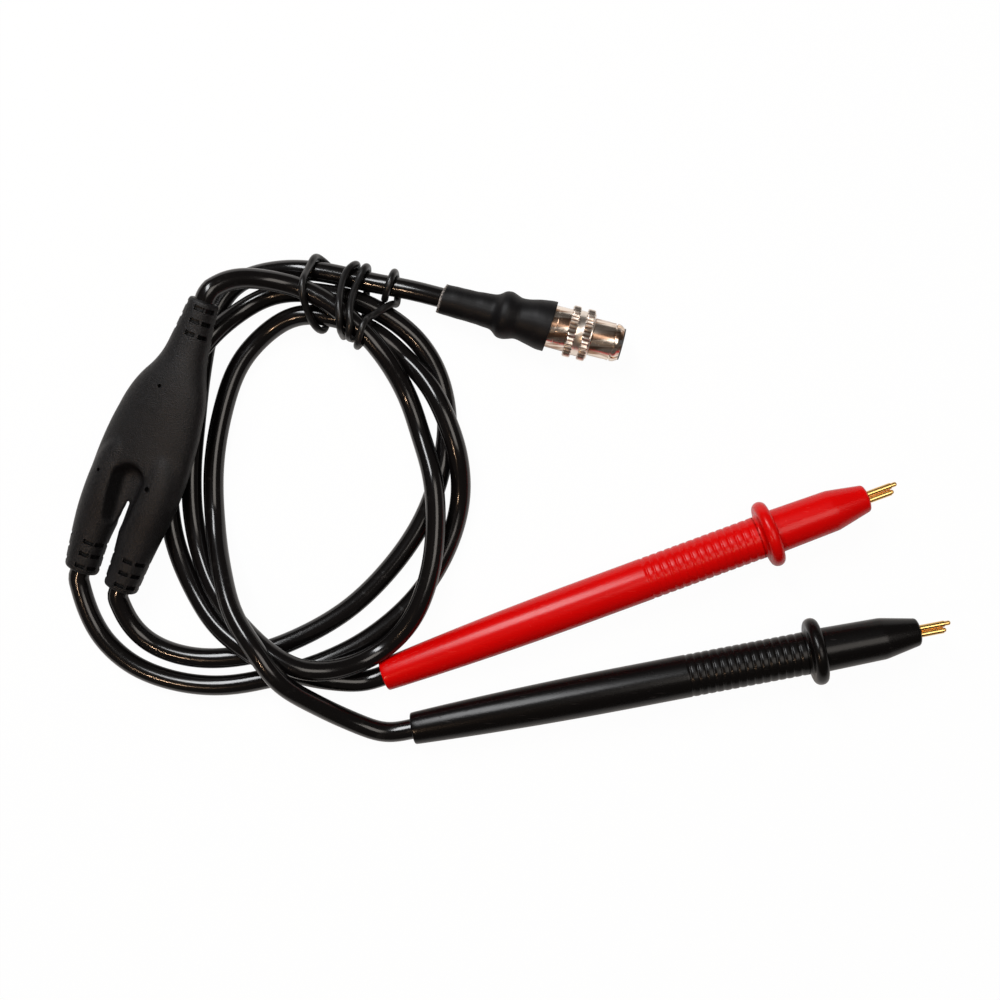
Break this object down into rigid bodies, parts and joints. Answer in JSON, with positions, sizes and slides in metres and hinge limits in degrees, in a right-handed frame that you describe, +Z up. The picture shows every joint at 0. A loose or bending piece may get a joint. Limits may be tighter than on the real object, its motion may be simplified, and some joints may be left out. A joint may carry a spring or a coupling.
{
  "type": "four-wire test lead set",
  "caption": "Red and black pen probes with twin spring pins, black leads, a moulded Y-splitter, a main cable and a push-pull circular plug, tied into a bundle.",
  "frame": {"origin": "middle of the two pens' footprint, on the surface that the set lies on", "axes": "+Z up from the surface, +X to the right along the pens towards their tips, +Y away from the black pen towards the plug"},
  "size_m": [0.2342, 0.1306, 0.0228],
  "materials": {
    "red_abs": "semi-gloss moulded ABS",
    "insulator": "moulded insulator",
    "gilt": "gold plated, polished",
    "spring_steel": "spring wire",
    "red_core": "PVC insulation",
    "clamp_steel": "crimped ferrule",
    "black_abs": "semi-gloss moulded ABS",
    "black_core": "PVC insulation",
    "pvc": "glossy PVC jacket",
    "splitter": "fine sparked mould texture",
    "heat_shrink": "shrunk polyolefin, satin",
    "nickel": "nickel plated, polished"
  },
  "bodies": {
    "set": {"red_handle": "red_abs", "red_nose": "red_abs", "red_pin_block": "insulator", "red_barrels": "gilt", "red_upper_spring": "spring_steel", "red_lower_spring": "spring_steel", "red_cores": "red_core", "red_lead_clamp": "clamp_steel", "black_handle": "black_abs", "black_nose": "black_abs", "black_pin_block": "insulator", "black_barrels": "gilt", "black_upper_spring": "spring_steel", "black_lower_spring": "spring_steel", "black_cores": "black_core", "black_lead_clamp": "clamp_steel", "red_lead": "pvc", "black_lead": "pvc", "main_cable": "pvc", "y_splitter": "splitter", "tie_wire": "pvc", "plug_boot": "heat_shrink", "plug_back_nut": "nickel", "plug_cable_clamp": "clamp_steel", "plug_body": "nickel", "plug_sleeve_spring": "spring_steel", "plug_barrel": "nickel", "plug_insulator": "insulator", "plug_contacts": "gilt", "plug_cores": "black_core"},
    "release_sleeve": {"plug_release_sleeve": "nickel"},
    "red_upper_pin": {"red_upper_plunger": "gilt"},
    "red_lower_pin": {"red_lower_plunger": "gilt"},
    "black_upper_pin": {"black_upper_plunger": "gilt"},
    "black_lower_pin": {"black_lower_plunger": "gilt"}
  },
  "joints": [
    {"name": "release_sleeve_slide", "type": "slide", "parent": "set", "child": "release_sleeve", "axis": [-0.9681, 0.2504, 0], "range_m": [0, 0.002], "stiffness_N_per_m": 900, "springref_m": -0.001, "deforming": ["plug_sleeve_spring"]},
    {"name": "red_upper_plunger_slide", "type": "slide", "parent": "set", "child": "red_upper_pin", "axis": [-0.9364, -0.3482, -0.0427], "range_m": [0, 0.001], "stiffness_N_per_m": 800, "springref_m": -0.0005, "deforming": ["red_upper_spring"]},
    {"name": "red_lower_plunger_slide", "type": "slide", "parent": "set", "child": "red_lower_pin", "axis": [-0.9364, -0.3482, -0.0427], "range_m": [0, 0.0006], "stiffness_N_per_m": 800, "springref_m": -0.0005, "deforming": ["red_lower_spring"]},
    {"name": "black_upper_plunger_slide", "type": "slide", "parent": "set", "child": "black_upper_pin", "axis": [-0.9801, -0.1941, -0.0427], "range_m": [0, 0.001], "stiffness_N_per_m": 800, "springref_m": -0.0005, "deforming": ["black_upper_spring"]},
    {"name": "black_lower_plunger_slide", "type": "slide", "parent": "set", "child": "black_lower_pin", "axis": [-0.9801, -0.1941, -0.0427], "range_m": [0, 0.0006], "stiffness_N_per_m": 800, "springref_m": -0.0005, "deforming": ["black_lower_spring"]}
  ]
}
